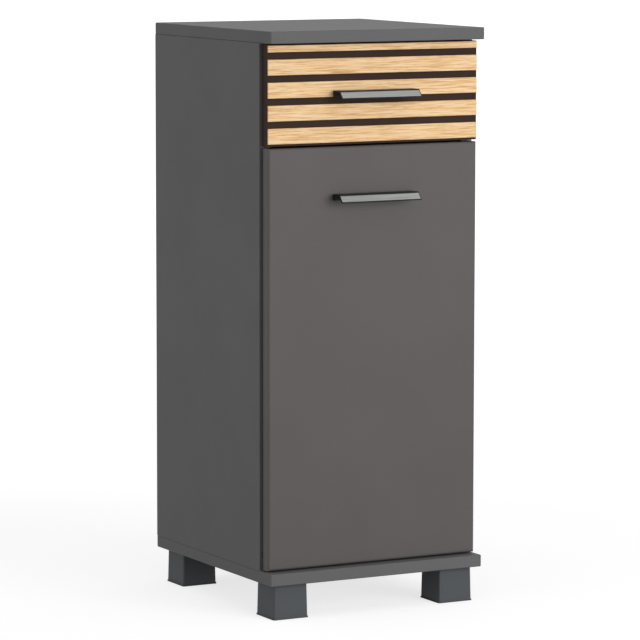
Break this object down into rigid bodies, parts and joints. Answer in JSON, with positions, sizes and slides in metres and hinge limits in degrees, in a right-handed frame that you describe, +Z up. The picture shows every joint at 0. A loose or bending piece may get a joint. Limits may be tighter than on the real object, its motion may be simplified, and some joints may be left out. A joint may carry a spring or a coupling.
{
  "type": "bathroom floor cabinet",
  "caption": "Narrow bathroom floor cabinet on short square feet, with a wood-striped drawer over a side-hung door, bar handles and an inner shelf.",
  "frame": {"origin": "on the floor, under the middle of the whole cabinet with its handles", "axes": "+Z up, +X to the right as seen from the front, and the front with drawer and door faces -Y"},
  "size_m": [0.3, 0.331, 0.725],
  "materials": {
    "anthracite_board": "melamine-faced board, satin anthracite grey",
    "door_foil": "foil-wrapped board, satin anthracite grey",
    "oak_foil": "light oak decor with fine level grain, satin",
    "dark_brown_board": "dark brown decor board, satin",
    "drawer_box_board": "white-grey melamine-faced board, satin",
    "drawer_bottom_hardboard": "white-faced hardboard, satin",
    "back_hardboard": "grey-faced hardboard, matte",
    "feet_plastic": "moulded dark grey plastic, satin",
    "buffer_plastic": "dark grey soft plastic pads, matte",
    "handle_metal": "black anodised profile with a brushed strip along its face",
    "plated_steel": "nickel-plated, satin",
    "runner_steel": "white powder coat, semi-gloss",
    "roller_plastic": "moulded white plastic, satin"
  },
  "bodies": {
    "carcass": {"foot_front_left": "feet_plastic", "foot_front_right": "feet_plastic", "foot_rear_left": "feet_plastic", "foot_rear_right": "feet_plastic", "top_panel": "anthracite_board", "bottom_panel": "anthracite_board", "left_side_panel": "anthracite_board", "right_side_panel": "anthracite_board", "back_panel": "back_hardboard", "fixed_shelf": "anthracite_board", "loose_shelf": "anthracite_board", "shelf_pins": "plated_steel", "front_buffers": "buffer_plastic", "hinge_arms": "plated_steel", "hinge_plates": "plated_steel", "hinge_arm_screws": "plated_steel", "left_cabinet_runner": "runner_steel", "right_cabinet_runner": "runner_steel"},
    "door": {"door_panel": "door_foil", "hinge_cups": "plated_steel", "door_handle": "handle_metal", "door_handle_screws": "plated_steel"},
    "drawer": {"drawer_front": "dark_brown_board", "oak_slats": "oak_foil", "drawer_handle": "handle_metal", "drawer_handle_screws": "plated_steel", "drawer_left_side": "drawer_box_board", "drawer_right_side": "drawer_box_board", "drawer_back": "drawer_box_board", "drawer_bottom": "drawer_bottom_hardboard", "left_drawer_runner": "runner_steel", "right_drawer_runner": "runner_steel"},
    "left_front_roller": {"left_front_roller": "roller_plastic"},
    "right_front_roller": {"right_front_roller": "roller_plastic"},
    "left_rear_roller": {"left_rear_roller": "roller_plastic"},
    "right_rear_roller": {"right_rear_roller": "roller_plastic"}
  },
  "joints": [
    {"name": "door_swing", "type": "hinge", "parent": "carcass", "child": "door", "pos_m": [0.1394, -0.1355, 0.3215], "axis": [0, 0, 1], "range_deg": [0, 95]},
    {"name": "drawer_slide", "type": "slide", "parent": "carcass", "child": "drawer", "axis": [0, -1, 0], "range_m": [0, 0.185]},
    {"name": "left_front_roller_spin", "type": "hinge", "parent": "carcass", "child": "left_front_roller", "pos_m": [-0.13, -0.11, 0.6022], "axis": [1, 0, 0], "range_deg": [-5, 1255]},
    {"name": "right_front_roller_spin", "type": "hinge", "parent": "carcass", "child": "right_front_roller", "pos_m": [0.13, -0.11, 0.6022], "axis": [1, 0, 0], "range_deg": [-5, 1255]},
    {"name": "left_rear_roller_spin", "type": "hinge", "parent": "drawer", "child": "left_rear_roller", "pos_m": [-0.1275, 0.1125, 0.602], "axis": [1, 0, 0], "range_deg": [-5, 1255]},
    {"name": "right_rear_roller_spin", "type": "hinge", "parent": "drawer", "child": "right_rear_roller", "pos_m": [0.1275, 0.1125, 0.602], "axis": [1, 0, 0], "range_deg": [-5, 1255]}
  ],
  "couplings": [
    {"joint": "left_front_roller_spin", "follows": "drawer_slide", "rad_per_m": 117.65},
    {"joint": "right_front_roller_spin", "follows": "drawer_slide", "rad_per_m": 117.65},
    {"joint": "left_rear_roller_spin", "follows": "drawer_slide", "rad_per_m": 117.65},
    {"joint": "right_rear_roller_spin", "follows": "drawer_slide", "rad_per_m": 117.65}
  ]
}
